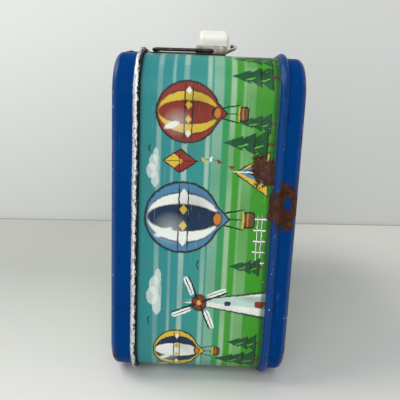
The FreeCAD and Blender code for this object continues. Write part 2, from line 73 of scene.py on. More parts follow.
def startMaterial(name):
    material = bpy.data.materials.new(name)
    material.use_nodes = True
    tree = material.node_tree
    place = addNode(tree, "TexCoord").node.outputs
    millimetres = addNode(tree, "Mapping", {"Vector": place["Object"], "Scale": (1000, 1000, 1000)})
    return material, tree, tree.nodes["Principled BSDF"], millimetres, place["Normal"]


def dress(material, *names):
    for name in names:
        slots = nodes[name].data.materials
        slots.clear()
        slots.append(material)


print("stage: camera and room")
view = {"place": (0.33775, -0.00330, 0.15082), "lens": 41.55, "yaw": 0.262, "pitch": 11.626, "roll": 2.396}
yaw, pitch, roll = (math.radians(view[k]) for k in ("yaw", "pitch", "roll"))
ahead = Vector((-math.cos(yaw), math.sin(yaw), 0))
levelSide = Vector((math.sin(yaw), math.cos(yaw), 0))
aim = ahead * math.cos(pitch) - Vector((0, 0, 1)) * math.sin(pitch)
rise = Vector((0, 0, 1)) * math.cos(pitch) + ahead * math.sin(pitch)
sideways = levelSide * math.cos(roll) + rise * math.sin(roll)
upright = rise * math.cos(roll) - levelSide * math.sin(roll)
bpy.ops.object.camera_add(location=view["place"])
camera = bpy.context.object
camera.data.lens, camera.data.sensor_width = view["lens"], 36
camera.data.clip_start, camera.data.clip_end = 0.01, 20
turn = Matrix((sideways, upright, -aim)).transposed()
camera.rotation_euler = turn.to_euler()
scene.camera = camera

room = {"floor": 6.0, "wallFrom": (-0.2288, -0.2560), "wallTo": (-0.2789, 0.2799), "wallSize": (0.80, 0.42)}
bpy.ops.mesh.primitive_plane_add(size=room["floor"])
floor = bpy.context.object
floor.name = "floor"
wallStart, wallEnd = Vector(room["wallFrom"]), Vector(room["wallTo"])
wallRun = (wallEnd - wallStart).normalized()
bpy.ops.mesh.primitive_plane_add(size=1)
wall = bpy.context.object
wall.name = "wall"
wall.scale = (*room["wallSize"], 1)
wall.rotation_euler = (math.radians(90), 0, math.atan2(wallRun.y, wallRun.x))
wall.location = ((wallStart + wallEnd) / 2).to_3d() + Vector((0, 0, room["wallSize"][1] / 2))
bpy.ops.object.transform_apply(location=True, rotation=True, scale=True)

# the pale table top, seen from above only, with painted light: brighter towards the camera, and painted darker
# far off, most of all on the left
material, tree, shader, mm, facing = startMaterial("matt painted board")
pos = addNode(tree, "SeparateXYZ", {0: mm}).node.outputs
nearer = addNode(tree, "MapRange", {"Value": pos["X"], "From Min": -60.0, "From Max": 230.0})
rightwards = addNode(tree, "MapRange", {"Value": pos["Y"], "From Min": -150.0, "From Max": 200.0})
far = addNode(tree, "Mix", {"Factor": rightwards, "A": "#b9bab5", "B": "#dcdbd6"}, data_type="RGBA")
tint = addNode(tree, "Mix", {"Factor": nearer, "A": far, "B": "#f4f3ef"}, data_type="RGBA")
# a thin line of painted shade where the table meets the wall
offWall = addNode(tree, "VectorMath", {0: mm, 1: (wallRun.y, -wallRun.x, 0)}, operation="DOT_PRODUCT")
offWall = addNode(tree, "Math", {0: offWall, 1: 1000 * (wallStart.x * wallRun.y - wallStart.y * wallRun.x)},
                  operation="SUBTRACT")
offWall = addNode(tree, "Math", {0: offWall}, operation="ABSOLUTE")
wallFootShade = addNode(tree, "MapRange", {"Value": offWall, "From Min": 1.5, "From Max": 5.0,
                                   "To Min": 0.75, "To Max": 0.0})
tint = addNode(tree, "Mix", {"Factor": wallFootShade, "A": tint, "B": "#7d7f7a"}, data_type="RGBA")
tree.links.new(tint, shader.inputs["Base Color"])
shader.inputs["Roughness"].default_value = 0.9
floor.data.materials.append(material)

# the plain wall, seen from its front only, with painted light: brighter towards the top, and painted shade
# towards the right
material, tree, shader, mm, facing = startMaterial("matt wall paint")
pos = addNode(tree, "SeparateXYZ", {0: mm}).node.outputs
higher = addNode(tree, "MapRange", {"Value": pos["Z"], "From Max": 230.0})
tint = addNode(tree, "Mix", {"Factor": higher, "A": "#dedfdb", "B": "#ecedea"}, data_type="RGBA")
rightwards = addNode(tree, "MapRange", {"Value": pos["Y"], "From Min": -60.0, "From Max": 100.0,
                                        "To Max": 0.28})
tint = addNode(tree, "Mix", {"Factor": rightwards, "A": tint, "B": "#c4c4c0"}, data_type="RGBA")
tree.links.new(tint, shader.inputs["Base Color"])
shader.inputs["Roughness"].default_value = 0.95
wall.data.materials.append(material)
wall.visible_shadow = False

for piece in (floor, wall):
    tree = piece.data.materials[0].node_tree
    behind = addNode(tree, "NewGeometry").node.outputs["Backfacing"]
    clear = addNode(tree, "BsdfTransparent")
    both = addNode(tree, "MixShader", {0: behind, 1: tree.nodes["Principled BSDF"].outputs[0], 2: clear})
    tree.links.new(both, tree.nodes["Material Output"].inputs["Surface"])

world = bpy.data.worlds.new("soft room light")
scene.world = world
world.use_nodes = True
tree = world.node_tree
seen = addNode(tree, "LightPath").node.outputs["Is Camera Ray"]
shown = addNode(tree, "Background", {"Color": "#d9dad6", "Strength": 1.0})
light = addNode(tree, "Background", {"Color": "#eceeef", "Strength": 0.55})
both = addNode(tree, "MixShader", {0: seen, 1: light, 2: shown})
tree.links.new(both, tree.nodes["World Output"].inputs["Surface"])

# key: a window high on the left, fill: the room behind the camera
lamps = {"window": ((0.10, -0.85, 1.10), 0.75, 9.0, "#fffcf6"),
         "room": ((1.3, -0.12, 0.8), 1.2, 9.5, "#f6f8ff")}
for name, (place, size, power, colour) in lamps.items():
    bpy.ops.object.light_add(type="AREA", location=place)
    lamp = bpy.context.object
    lamp.name = name
    lamp.data.size, lamp.data.energy = size, power
    lamp.data.color = srgb(colour)[:3]
    lamp.rotation_euler = (Vector((0, 0, 0.09)) - Vector(place)).to_track_quat("-Z", "Y").to_euler()

print("stage: printed picture")
# key black, white, yellow, red, dusty blue, navy, orange, brown, green, leaf, shade
inks = {"k": "#20241f", "w": "#e6eae2", "y": "#d6b53c", "r": "#8a3228", "d": "#4f80a0", "n": "#1f3350",
        "o": "#c27a33", "b": "#6b4a2c", "g": "#1d5630", "l": "#6db04c", "s": "#b9d3c6"}

# every motif is a stack of flat shapes: shape, across, up, half width, half height, ink, turn;
# a capital is the same ink as a soft, thin tint for shade and light
sails = (0.4, 1.97, 3.54, 5.11)  # the angles of the windmill's sails
motifs = {
    "balloon": [("box", -0.22, -1.40, 0.022, 0.36, "k", -13), ("box", 0.22, -1.40, 0.022, 0.36, "k", 13),
                ("box", 0, -1.40, 0.018, 0.34, "k", 0), ("diamond", 0, -0.72, 0.66, 0.66, "k", 0),
                ("disc", 0, 0, 1.05, 1.08, "k", 0), ("diamond", 0, -0.72, 0.60, 0.59, "1", 0),
                ("disc", 0, 0, 0.99, 1.02, "1", 0), ("disc", 0, -0.02, 0.74, 1.01, "k", 0),
                ("disc", 0, -0.02, 0.70, 1.01, "2", 0), ("disc", 0, -0.03, 0.40, 1.01, "k", 0),
                ("disc", 0, -0.03, 0.36, 1.01, "3", 0), ("disc", 0, -0.98, 0.22, 0.16, "k", 0),
                ("disc", 0, -1.00, 0.17, 0.11, "o", 0), ("box", 0, 0.10, 0.97, 0.025, "k", 0),
                ("box", 0, -0.16, 0.95, 0.02, "k", 0), ("diamond", -0.72, -0.03, 0.13, 0.10, "w", 0),
                ("diamond", -0.24, -0.03, 0.15, 0.11, "y", 0), ("diamond", 0.24, -0.03, 0.15, 0.11, "y", 0),
                ("diamond", 0.72, -0.03, 0.13, 0.10, "w", 0), ("disc", -0.45, 0.52, 0.10, 0.26, "w", 24),
                ("disc", 0.36, -0.34, 0.56, 0.60, "K", 0), ("disc", -0.34, 0.34, 0.48, 0.50, "W", 0),
                ("box", 0, -1.88, 0.25, 0.19, "k", 0), ("box", 0, -1.89, 0.20, 0.14, "b", 0),
                ("box", 0, -1.86, 0.20, 0.02, "o", 0), ("box", 0, -1.73, 0.25, 0.03, "y", 0)],
    "pine": [("box", 0, -1.12, 0.09, 0.20, "b", 0), ("peak", 0, -0.55, 0.66, 0.48, "k", 0),
             ("peak", 0, -0.53, 0.58, 0.43, "g", 0), ("peak", 0, 0.02, 0.50, 0.48, "k", 0),
             ("peak", 0, 0.03, 0.43, 0.42, "g", 0), ("peak", 0, 0.55, 0.34, 0.45, "g", 0),
             ("disc", 0.20, -0.55, 0.26, 0.34, "K", 0), ("disc", 0.14, 0.05, 0.18, 0.30, "K", 0),
             ("box", -0.14, -0.62, 0.03, 0.22, "l", 18), ("box", -0.10, 0.10, 0.03, 0.24, "l", 16)],
    "tent": [("peak", 0, 0, 1.08, 0.80, "k", 0), ("peak", 0, -0.03, 0.98, 0.72, "1", 0),
             ("peak", 0.06, -0.05, 0.60, 0.70, "2", 0), ("peak", 0.06, -0.16, 0.34, 0.58, "k", 0),
             ("disc", -0.42, -0.45, 0.24, 0.30, "K", 0), ("box", 0.06, 0.04, 0.03, 0.80, "w", 0),
             ("peak", 0.22, 0.92, 0.18, 0.10, "r", 90)],
    "windmill": [("peak", 0, -0.35, 0.46, 1.30, "k", 0), ("peak", 0, -0.36, 0.38, 1.24, "w", 0),
                 ("peak", 0.08, -0.42, 0.22, 1.16, "s", 0), ("disc", 0.18, -1.10, 0.14, 0.60, "K", -8),
                 ("box", 0, -1.42, 0.10, 0.20, "r", 0), ("box", 0, -0.42, 0.07, 0.09, "n", 0),
                 ("disc", 0, 0.42, 0.27, 0.23, "k", 0), ("disc", 0, 0.42, 0.22, 0.18, "r", 0)]
                + [("box", out * math.cos(a + lead), 0.42 + out * math.sin(a + lead), length, width, ink,
                    math.degrees(a))
                   for out, lead, length, width, ink in ((0.46, 0, 0.42, 0.035, "k"),
                                                         (0.60, 0.15, 0.30, 0.075, "w"),
                                                         (0.60, 0.15, 0.30, 0.012, "n"))
                   for a in sails]
                + [("disc", 0, 0.42, 0.07, 0.07, "y", 0)],
    "kite": [("diamond", 0, 0, 0.74, 1.06, "k", 0), ("diamond", 0, 0, 0.64, 0.95, "1", 0),
             ("diamond", 0, 0.36, 0.40, 0.56, "2", 0), ("box", 0, 0, 0.02, 0.94, "k", 0),
             ("box", 0, 0.02, 0.62, 0.02, "k", 0), ("box", 0.10, -1.42, 0.015, 0.42, "k", 14),
             ("box", 0.10, -2.16, 0.015, 0.42, "k", -18), ("diamond", 0.12, -1.36, 0.20, 0.11, "y", 30),
             ("diamond", 0.16, -1.80, 0.20, 0.11, "w", -20), ("diamond", 0.04, -2.28, 0.20, 0.11, "r", 24)],
    "cloud": [("disc", -0.75, -0.10, 0.62, 0.26, "w", 0), ("disc", -0.20, 0.14, 0.55, 0.36, "w", 0),
              ("disc", 0.42, 0.04, 0.56, 0.30, "w", 0), ("disc", 0.95, -0.14, 0.50, 0.18, "w", 0),
              ("disc", 0.10, -0.26, 0.90, 0.10, "s", 0)],
    "bird": [("disc", -0.45, 0.10, 0.55, 0.13, "k", 26), ("disc", 0.45, 0.10, 0.55, 0.13, "k", -26)],
    "fence": [("box", 0, 0.28, 3.0, 0.07, "k", 0), ("box", 0, 0.30, 3.0, 0.045, "w", 0),
              ("box", 0, -0.22, 3.0, 0.07, "k", 0), ("box", 0, -0.20, 3.0, 0.045, "w", 0)]
             + [("box", x, 0, wide, high, ink, 0) for x in (-2.6, -1.3, 0, 1.3, 2.6)
                for wide, high, ink in ((0.15, 0.82, "k"), (0.10, 0.76, "w"))],
    "sun": [("disc", 0, 0, 1.30, 1.30, "o", 0), ("disc", 0, 0, 1.0, 1.0, "y", 0),
            ("disc", -0.2, 0.2, 0.5, 0.5, "w", 0)],
}

# each motif becomes a node group, drawn at unit size and placed again and again
stamps = {}
for name, shapes in motifs.items():
    tree = stamps[name] = bpy.data.node_groups.new(name, "ShaderNodeTree")
    for socket, kind in (("Place", "Vector"), ("Under", "Color"), ("1", "Color"), ("2", "Color"),
                         ("3", "Color"), ("Cover", "Float")):
        tree.interface.new_socket(socket, in_out="INPUT", socket_type="NodeSocket" + kind)
    tree.interface.new_socket("Printed", in_out="OUTPUT", socket_type="NodeSocketColor")
    given = addNode(tree, "NodeGroupInput").node.outputs
    printed = given["Under"]
    for shape, acrossBy, upBy, wide, high, ink, turned in shapes:
        c, s = math.cos(math.radians(turned)), math.sin(math.radians(turned))
        if turned:
            row = (c / wide, s / wide, -(acrossBy * c + upBy * s) / wide)
            column = (-s / high, c / high, (acrossBy * s - upBy * c) / high)
            row = addNode(tree, "VectorMath", {0: given["Place"], 1: row}, operation="DOT_PRODUCT")
            column = addNode(tree, "VectorMath", {0: given["Place"], 1: column}, operation="DOT_PRODUCT")
            spot = addNode(tree, "CombineXYZ", {"X": row, "Y": column})
        else:
            shift = (-acrossBy / wide, -upBy / high, 0)
            spot = addNode(tree, "VectorMath", {0: given["Place"], 1: (1 / wide, 1 / high, 0), 2: shift},
                           operation="MULTIPLY_ADD")
        if shape == "disc":
            reach = addNode(tree, "VectorMath", {0: spot}, operation="LENGTH")
        elif shape == "box":
            square = addNode(tree, "VectorMath", {0: spot, 1: spot}, operation="MULTIPLY")
            reach = addNode(tree, "VectorMath", {0: square, 1: square}, operation="DOT_PRODUCT")
        else:  # a diamond, or the upper half of one for a peak
            folded = addNode(tree, "VectorMath", {0: spot}, operation="ABSOLUTE")
            reach = addNode(tree, "VectorMath", {0: folded, 1: (1, 1, 0)}, operation="DOT_PRODUCT")
        if shape == "peak":
            reach = addNode(tree, "VectorMath", {0: spot, 1: (0, 0.5, 0)}, operation="DOT_PRODUCT")
            folded = addNode(tree, "VectorMath", {0: folded, 1: (1, 0, 0)}, operation="DOT_PRODUCT")
            slope = addNode(tree, "Math", {0: reach, 1: folded}, operation="ADD")
            slope = addNode(tree, "Math", {0: slope, 1: 0.5}, operation="ADD")
            foot = addNode(tree, "Math", {0: reach, 1: -2.0}, operation="MULTIPLY")
            reach = addNode(tree, "Math", {0: slope, 1: foot}, operation="MAXIMUM")
        if ink.isupper():
            inked = addNode(tree, "Math", {0: reach, 1: -0.35, 2: 0.38}, operation="MULTIPLY_ADD")
        else:
            edge = min(0.02 / min(wide, high), 0.6)
            inked = addNode(tree, "Math", {0: reach, 1: -0.5 / edge, 2: 0.5 + 0.5 / edge},
                            operation="MULTIPLY_ADD")
            inked = addNode(tree, "Math", {0: inked, 1: given["Cover"]}, operation="MINIMUM")
        tint = given[ink] if ink.isdigit() else inks[ink.lower()]
        printed = addNode(tree, "Mix", {"Factor": inked, "A": printed, "B": tint}, data_type="RGBA")
    addNode(tree, "NodeGroupOutput", {"Printed": printed})


def printMotif(tree, under, flat, motif, centre, size, colours="www", cover=1):
    # lays one motif over the colours under it; flat is the sheet rolled out in mm, Z = 1 lets a shape shift
    shift = (-centre[0] / size, -centre[1] / size, 1)
    spot = addNode(tree, "VectorMath", {0: flat, 1: (1 / size, 1 / size, 0), 2: shift},
                   operation="MULTIPLY_ADD")
    tints = {str(i + 1): inks[c] for i, c in enumerate(colours)}
    return addNode(tree, "Group", {"Place": spot, "Under": under, "Cover": cover, **tints},
                   node_tree=stamps[motif])


def lineInside(tree, mm, outside, colour):
    # cream lacquer, a little stained, on the faces that look into the box
    specks = addNode(tree, "TexNoise", {"Vector": mm, "Scale": 0.035, "Detail": 8.0, "Roughness": 0.72})
    stain = addNode(tree, "MapRange", {"Value": specks, "From Min": 0.60, "From Max": 0.80})
    lining = addNode(tree, "Mix", {"Factor": stain, "A": "#d9d3bf", "B": "#9c8d6c"}, data_type="RGBA")
    return addNode(tree, "Mix", {"Factor": outside, "A": lining, "B": colour}, data_type="RGBA")


def rustPatch(tree, mm, ragged, place, size, turn=0.0):
    # 1 inside a ragged patch, place and size in mm
    patch = addNode(tree, "Mapping", {"Vector": mm, "Location": place, "Rotation": (turn, 0, 0),
                                      "Scale": size}, vector_type="TEXTURE")
    patch = addNode(tree, "VectorMath", {0: patch}, operation="LENGTH")
    patch = addNode(tree, "Math", {0: ragged, 1: -2.4, 2: patch}, operation="MULTIPLY_ADD")
    return addNode(tree, "MapRange", {"Value": patch, "From Min": -0.32, "From Max": -0.22,
                                      "To Min": 1.0, "To Max": 0.0})


def pressDent(tree, mm, place, size, depth):
    # a smooth hollow, place, size and depth in mm
    dent = addNode(tree, "Mapping", {"Vector": mm, "Location": place, "Scale": size}, vector_type="TEXTURE")
    dent = addNode(tree, "VectorMath", {0: dent}, operation="LENGTH")
    return addNode(tree, "MapRange", {"Value": dent, "To Min": -depth, "To Max": 0.0},
                   interpolation_type="SMOOTHSTEP")


def weather(tree, shader, mm, colour, bare, rust, dent, gloss):
    # one sheet surface: print or enamel, metal where it is rubbed off, rust over both
    mottle = addNode(tree, "TexNoise", {"Vector": mm, "Scale": 0.9, "Detail": 5.0, "Roughness": 0.65})
    metal = addNode(tree, "ValToRGB", {"Fac": mottle})
    for stop, place, tone in zip(metal.node.color_ramp.elements, (0.34, 0.50), ("#8c8c87", "#e6eaea")):
        stop.position, stop.color = place, srgb(tone)
    crust = addNode(tree, "TexNoise", {"Vector": mm, "Scale": 0.35, "Detail": 8.0, "Roughness": 0.7})
    iron = addNode(tree, "ValToRGB", {"Fac": crust})
    for place, tone in ((0.45, "#3a261d"), (0.60, "#52301f")):
        iron.node.color_ramp.elements.new(place).color = srgb(tone)
    iron.node.color_ramp.elements[0].color = srgb("#1d1512")
    iron.node.color_ramp.elements[-1].color = srgb("#8a4a24")
    skin = addNode(tree, "Mix", {"Factor": bare, "A": colour, "B": metal}, data_type="RGBA")
    skin = addNode(tree, "Mix", {"Factor": rust, "A": skin, "B": iron}, data_type="RGBA")
    tree.links.new(skin, shader.inputs["Base Color"])
    clean = addNode(tree, "Math", {0: 1.0, 1: rust}, operation="SUBTRACT")
    shine = addNode(tree, "Math", {0: bare, 1: clean}, operation="MULTIPLY")
    shine = addNode(tree, "Math", {0: shine, 1: 0.75}, operation="MULTIPLY")
    tree.links.new(shine, shader.inputs["Metallic"])
    smear = addNode(tree, "TexNoise", {"Vector": mm, "Scale": 0.05, "Detail": 6.0, "Roughness": 0.6})
    dull = addNode(tree, "MapRange", {"Value": smear, "From Min": 0.3, "From Max": 0.7,
                                      "To Min": gloss, "To Max": gloss + 0.14})
    dull = addNode(tree, "Mix", {"Factor": bare, "A": dull, "B": 0.45}, data_type="FLOAT")
    dull = addNode(tree, "Mix", {"Factor": rust, "A": dull, "B": 0.88}, data_type="FLOAT")
    tree.links.new(dull, shader.inputs["Roughness"])
    # height in mm: thin sheet waves, the paint's edge, the rust's grain
    waves = addNode(tree, "TexNoise", {"Vector": mm, "Scale": 0.022, "Detail": 1.0})
    high = addNode(tree, "Math", {0: waves, 1: 0.55}, operation="MULTIPLY")
    high = addNode(tree, "Math", {0: bare, 1: -0.05, 2: high}, operation="MULTIPLY_ADD")
    grain = addNode(tree, "Math", {0: crust, 1: rust}, operation="MULTIPLY")
    high = addNode(tree, "Math", {0: grain, 1: 0.35, 2: high}, operation="MULTIPLY_ADD")
    high = addNode(tree, "Math", {0: high, 1: dent}, operation="ADD")
    bump = addNode(tree, "Bump", {"Height": high, "Distance": 0.001, "Strength": 0.8})
    tree.links.new(bump, shader.inputs["Normal"])


print("stage: band")
# in mm across the strip: where the colours run, where the painted shade beside the rims lies and where print
# wears off; rust as place, size and turn
band = {"colours": (-34.0, 34.0), "rimShadeMiddle": -0.3, "dirtAndShade": (31.4, 33.2), "worn": (28.0, 35.0),
        "upperRust": ((case["halfWidth"], 29.6, 119.6), (26, 6.2, 9.5), 0.45),
        "lowerRust": ((case["halfWidth"], 35, 101), (26, 2.6, 15)),
        "dent": ((case["halfWidth"], -18, 62), (9, 9, 13), 0.5), "gloss": 0.26, "varnish": 0.15}
# litho colour under a clear, worn varnish
material, tree, shader, mm, facing = startMaterial("printed tinplate")
pos = addNode(tree, "SeparateXYZ", {0: mm}).node.outputs
turnTo = addNode(tree, "SeparateXYZ", {0: facing}).node.outputs
level = addNode(tree, "Math", {0: pos["Z"], 1: case["mid"]}, operation="SUBTRACT")

# how far along the strip: by height on the ends, by width on top and below, the same picture on each side
endSign = addNode(tree, "Math", {0: turnTo["X"]}, operation="SIGN")
topSign = addNode(tree, "Math", {0: turnTo["Z"]}, operation="SIGN")
onEnd = addNode(tree, "Math", {0: level, 1: endSign}, operation="MULTIPLY")
onTop = addNode(tree, "Math", {0: pos["X"], 1: topSign}, operation="MULTIPLY")
onTop = addNode(tree, "Math", {0: onTop, 1: -1.0}, operation="MULTIPLY")
steepX = addNode(tree, "Math", {0: turnTo["X"]}, operation="ABSOLUTE")
steepZ = addNode(tree, "Math", {0: turnTo["Z"]}, operation="ABSOLUTE")
atEnd = addNode(tree, "Math", {0: steepX, 1: steepZ}, operation="GREATER_THAN")
stripAt = addNode(tree, "Mix", {"Factor": atEnd, "A": onTop, "B": onEnd}, data_type="FLOAT")
towardsLid = addNode(tree, "Math", {0: pos["Y"], 1: -1.0}, operation="MULTIPLY")
rolledOut = addNode(tree, "CombineXYZ", {"X": stripAt, "Y": towardsLid})
wobble = addNode(tree, "TexNoise", {"Vector": rolledOut, "Scale": 0.5, "Detail": 2.0}).node.outputs["Color"]
wobble = addNode(tree, "VectorMath", {0: wobble, 1: (0.5, 0.5, 0.5)}, operation="SUBTRACT")
flat = addNode(tree, "VectorMath", {0: wobble, 1: (1.1, 1.1, 0), 2: rolledOut}, operation="MULTIPLY_ADD")

brushed = addNode(tree, "Mapping", {"Vector": rolledOut, "Scale": (0.02, 0.5, 1)})
streak = addNode(tree, "TexNoise", {"Vector": brushed, "Scale": 1.0, "Detail": 4.0})
streak = addNode(tree, "Math", {0: streak, 1: 9.0, 2: -4.5}, operation="MULTIPLY_ADD")
across = addNode(tree, "Math", {0: pos["Y"], 1: streak}, operation="ADD")
across = addNode(tree, "MapRange", {"Value": across, "From Min": band["colours"][0],
                                    "From Max": band["colours"][1]})
picture = addNode(tree, "ValToRGB", {"Fac": across})
stops = picture.node.color_ramp.elements
for place, tone in ((0.30, "#348a8b"), (0.48, "#388f86"), (0.60, "#349268"), (0.70, "#3f9630")):
    stops.new(place).color = srgb(tone)
stops[0].color, stops[-1].color = srgb("#2c8384"), srgb("#37921c")
# middle, width and cover of each pale stripe
stripes = ((23.8, 2.4, 0.26), (17.0, 1.4, 0.30), (11.0, 2.6, 0.42), (-0.3, 2.2, 0.40), (-4.8, 5.0, 0.26),
           (-12.1, 2.6, 0.38), (-17.5, 1.2, 0.30), (-20.5, 5.0, 0.18))
for middle, width, cover in stripes:
    aside = addNode(tree, "Math", {0: towardsLid, 1: middle}, operation="SUBTRACT")
    aside = addNode(tree, "Math", {0: aside}, operation="ABSOLUTE")
    stripe = addNode(tree, "MapRange", {"Value": aside, "From Min": width / 2 - 0.4,
                                        "From Max": width / 2 + 0.4, "To Min": cover, "To Max": 0.0})
    along = addNode(tree, "Math", {0: stripAt, 1: 0.021, 2: middle}, operation="MULTIPLY_ADD")
    fade = addNode(tree, "TexNoise", {"W": along, "Scale": 1.0, "Detail": 1.0}, noise_dimensions="1D")
    fade = addNode(tree, "MapRange", {"Value": fade, "From Min": 0.36, "From Max": 0.56, "To Min": 0.5})
    stripe = addNode(tree, "Math", {0: stripe, 1: fade}, operation="MULTIPLY")
    picture = addNode(tree, "Mix", {"Factor": stripe, "A": picture, "B": "#dcebd8"}, data_type="RGBA")

# motif, place and size in mm; its three colours and cover where they matter
stripLayout = [
    ("cloud", (-36, 24), 9, "www", 0.6), ("cloud", (30, 26), 7, "www", 0.55), ("fence", (-6, -29), 4.5),
    ("pine", (-74, -20), 11), ("pine", (-63, -23), 8), ("pine", (-20, -22), 8), ("windmill", (-41, -7), 18),
    ("tent", (29, -23), 11, "ydw"), ("pine", (44, -19), 11), ("pine", (54, -23), 8),
    ("pine", (76, -21), 10), ("balloon", (5, 11), 18.0, "dwn"), ("balloon", (58, 10), 14.5, "ryr"),
    ("balloon", (-69, 12), 11.5, "ynw"), ("kite", (34, 13), 8.5, "ryw"), ("bird", (-20, 2), 2.8),
    ("bird", (-52, 27), 2.4), ("bird", (40, 28), 2.2), ("pine", (-96, -21), 10), ("pine", (96, -22), 9),
    ("cloud", (93, 20), 9, "www", 0.6)]
for stamp in stripLayout:
    picture = printMotif(tree, picture, flat, *stamp)

# thin lines rubbed into the varnish, and soil over it
rubbed = addNode(tree, "Mapping", {"Vector": mm, "Scale": (0.5, 2.2, 0.06), "Rotation": (0.12, 0.1, 0)})
lines = addNode(tree, "TexNoise", {"Vector": rubbed, "Scale": 1.0, "Detail": 3.0, "Roughness": 0.6})
lines = addNode(tree, "MapRange", {"Value": lines, "From Min": 0.66, "From Max": 0.72, "To Max": 0.45})
picture = addNode(tree, "Mix", {"Factor": lines, "A": picture, "B": "#a9c4b8"}, data_type="RGBA")
soil = addNode(tree, "TexNoise", {"Vector": mm, "Scale": 0.06, "Detail": 6.0, "Roughness": 0.65})
soil = addNode(tree, "MapRange", {"Value": soil, "From Min": 0.5, "From Max": 0.75, "To Max": 0.22})
picture = addNode(tree, "Mix", {"Factor": soil, "A": picture, "B": "#5d6a58"}, data_type="RGBA")
# painted shade in the corners beside both rims
corner = addNode(tree, "Math", {0: pos["Y"], 1: band["rimShadeMiddle"]}, operation="SUBTRACT")
corner = addNode(tree, "Math", {0: corner}, operation="ABSOLUTE")
corner = addNode(tree, "MapRange", {"Value": corner, "From Min": band["dirtAndShade"][0], "From Max": band["dirtAndShade"][1],
                                    "To Max": 0.72})
picture = addNode(tree, "Mix", {"Factor": corner, "A": picture, "B": "#14302c"}, data_type="RGBA")

outward = addNode(tree, "CombineXYZ", {"X": pos["X"], "Z": level})
outward = addNode(tree, "VectorMath", {0: outward, 1: (1 / case["halfWidth"], 0, 1 / case["halfHeight"])},
                  operation="MULTIPLY")
outside = addNode(tree, "VectorMath", {0: facing, 1: outward}, operation="DOT_PRODUCT")
outside = addNode(tree, "Math", {0: outside, 1: 0.0}, operation="GREATER_THAN")
colour = lineInside(tree, mm, outside, picture)

# print rubbed off in specks, most of it beside the two rims
rimNear = addNode(tree, "Math", {0: pos["Y"]}, operation="ABSOLUTE")
rimNear = addNode(tree, "MapRange", {"Value": rimNear, "From Min": band["worn"][0],
                                     "From Max": band["worn"][1], "To Max": 0.10})
chip = addNode(tree, "TexNoise", {"Vector": mm, "Scale": 0.45, "Detail": 8.0, "Roughness": 0.72})
chip = addNode(tree, "Math", {0: chip, 1: rimNear}, operation="ADD")
bare = addNode(tree, "MapRange", {"Value": chip, "From Min": 0.70, "From Max": 0.73})

# rust eaten in from the back rim on the right-hand end, specks elsewhere
ragged = addNode(tree, "TexNoise", {"Vector": mm, "Scale": 0.22, "Detail": 6.0, "Roughness": 0.68})
upper = rustPatch(tree, mm, ragged, *band["upperRust"])
lower = rustPatch(tree, mm, ragged, *band["lowerRust"])
pin = addNode(tree, "MapRange", {"Value": chip, "From Min": 0.715, "From Max": 0.74})
rust = addNode(tree, "Math", {0: upper, 1: lower}, operation="MAXIMUM")
rust = addNode(tree, "Math", {0: rust, 1: pin}, operation="MAXIMUM")
dent = pressDent(tree, mm, *band["dent"])
weather(tree, shader, mm, colour, bare, rust, dent, band["gloss"])
shader.inputs["Specular IOR Level"].default_value = band["varnish"]
dress(material, "body_band")

print("stage: lid and back")
pans = {"lid_pan": {"name": "blue enamelled lid", "centre": -30.0, "rim": case["lidRim"], "mirror": 1.0,
                    "worn": 0.52, "fold": 0.14, "dents": [(111, -42, 70)],
                    "rust": (111, -46, 12), "rustSize": (6, 2.0, 9)},
        "back_pan": {"name": "blue enamelled back", "centre": 30.0, "rim": case["backRim"], "mirror": -1.0,
                     "worn": 0.07, "fold": 0.24,
                     "dents": [(111, 37.5, 158), (111, 35.6, 168), (111, 38.2, 146)],
                     "rust": (111, 41.2, 102), "rustSize": (14, 8.2, 13.5),
                     "island": (111, 42.4, 103.6), "islandSize": (8, 2.4, 3.2)}}
faceLayout = {
    "lid_pan": [
        ("sun", (62, 44), 10), ("cloud", (-52, 52), 17, "www", 0.7), ("cloud", (14, 60), 13, "www", 0.6),
        ("cloud", (78, 22), 10, "www", 0.55), ("windmill", (-70, -22), 25), ("pine", (-48, -44), 15),
        ("pine", (-34, -50), 12), ("tent", (-4, -50), 16, "ydw"), ("fence", (52, -58), 9),
        ("pine", (80, -40), 18), ("pine", (66, -46), 12), ("balloon", (-22, 26), 26, "dwn"),
        ("balloon", (40, 8), 19, "ryr"), ("balloon", (80, 52), 8, "ynw"), ("kite", (6, -6), 10, "ryw"),
        ("bird", (-60, 22), 4), ("bird", (-76, 34), 3), ("bird", (12, 40), 3)],
    "back_pan": [
        ("sun", (-66, 46), 10), ("cloud", (48, 54), 16, "www", 0.7), ("cloud", (-18, 58), 12, "www", 0.6),
        ("windmill", (66, -20), 26), ("tent", (20, -48), 14, "ryw"), ("pine", (-78, -42), 17),
        ("pine", (-62, -47), 13), ("pine", (40, -46), 12), ("fence", (-26, -58), 9),
        ("balloon", (-34, 16), 24, "ynw"), ("balloon", (22, 30), 18, "dwn"), ("kite", (-4, 2), 11, "dyw"),
        ("bird", (44, 16), 4), ("bird", (60, 30), 3)]}
# in mm to either side of the rim's middle: where wear stops and the glint fades;
# in mm behind the face: where the worn edge, the brown fold and the fold's glint begin and end
rimReach = {"roll": 1.75, "wear": (1.5, 2.0), "foot": (0.1, 1.2), "glint": (1.6, 2.6)}
foldReach = {kind: [case["face"] - back for back in span] for kind, span in
             {"wear": (3.8, 1.8), "brown": (2.4, 1.0), "glint": (3.9, 1.9)}.items()}
# half sizes to the middle of the round corners, how far out picture and keyline reach, the softness of an edge
field = {"half": (83.5, 61.5, 0), "picture": 12.3, "keyline": 13.7, "edge": 0.5}
dentSize, dentDepth, enamelGloss = (9, 2.4, 6), 1.3, 0.24
